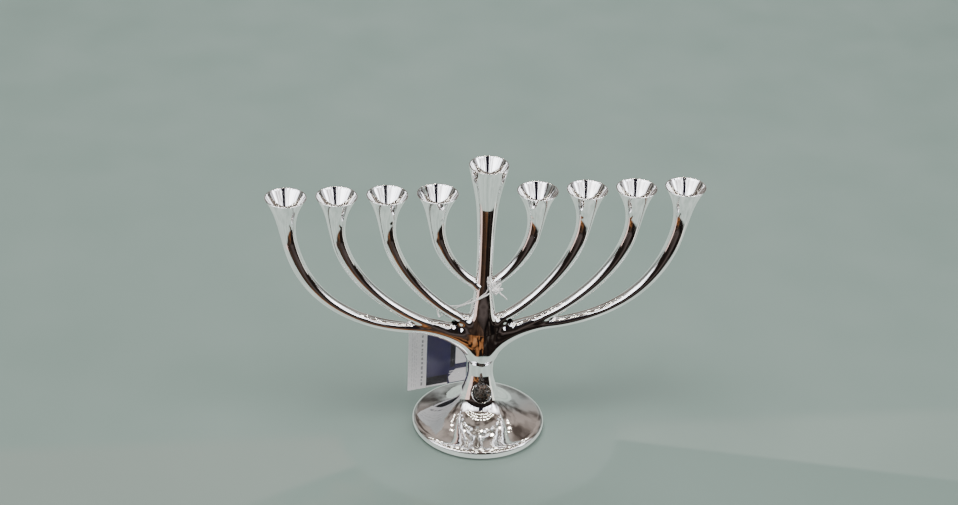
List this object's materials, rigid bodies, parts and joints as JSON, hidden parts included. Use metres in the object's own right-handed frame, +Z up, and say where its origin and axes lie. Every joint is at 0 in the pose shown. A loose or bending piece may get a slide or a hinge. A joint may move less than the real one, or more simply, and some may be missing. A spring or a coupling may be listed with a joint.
{
  "type": "menorah",
  "caption": "Menorah with curved arms in one plane, flared candle cups, a taller centre stem, a round foot, a crystal boss and a swing tag.",
  "frame": {"origin": "centre of the standing face, under the stem", "axes": "+Z up along the stem, +X along the row of cups to the right, -Y towards the crystal boss at the front"},
  "size_m": [0.2474, 0.0768, 0.172],
  "materials": {
    "chrome": "mirror-bright nickel and chrome plate over a polished casting",
    "steel": "zinc-plated bolt, washer and stud, hidden inside",
    "felt": "dark pressed felt",
    "boss_core": "dark resin ball that holds the stones",
    "crystal": "faceted smoky glass stones, foil backed",
    "clear_film": "thin clear film, slightly creased",
    "printed_card": "coated card printed navy with plain pale shapes",
    "label_paper": "white label paper with plain grey bars",
    "thread": "soft white twisted thread"
  },
  "bodies": {
    "root": {"foot": "chrome", "felt_pad": "felt", "tie_bolt": "steel", "bolt_washer": "steel", "neck": "chrome", "hub": "chrome", "stem": "chrome", "shamash_cup": "chrome", "arm_left_1": "chrome", "arm_left_2": "chrome", "arm_left_3": "chrome", "arm_left_4": "chrome", "arm_right_1": "chrome", "arm_right_2": "chrome", "arm_right_3": "chrome", "arm_right_4": "chrome", "cup_left_1": "chrome", "cup_left_2": "chrome", "cup_left_3": "chrome", "cup_left_4": "chrome", "cup_right_1": "chrome", "cup_right_2": "chrome", "cup_right_3": "chrome", "cup_right_4": "chrome", "boss_bezel": "chrome", "boss_core": "boss_core", "boss_stones": "crystal", "boss_stud": "steel", "string_loop": "thread", "string_knot": "thread"},
    "tag": {"tag_sleeve": "clear_film", "tag_card": "printed_card", "tag_label": "label_paper"}
  },
  "joints": [
    {"name": "tag_swing", "type": "hinge", "parent": "root", "child": "tag", "pos_m": [-0.0223, 0.0207, 0.0622], "axis": [0.9703, 0.2419, 0], "range_deg": [-7, 18]}
  ]
}
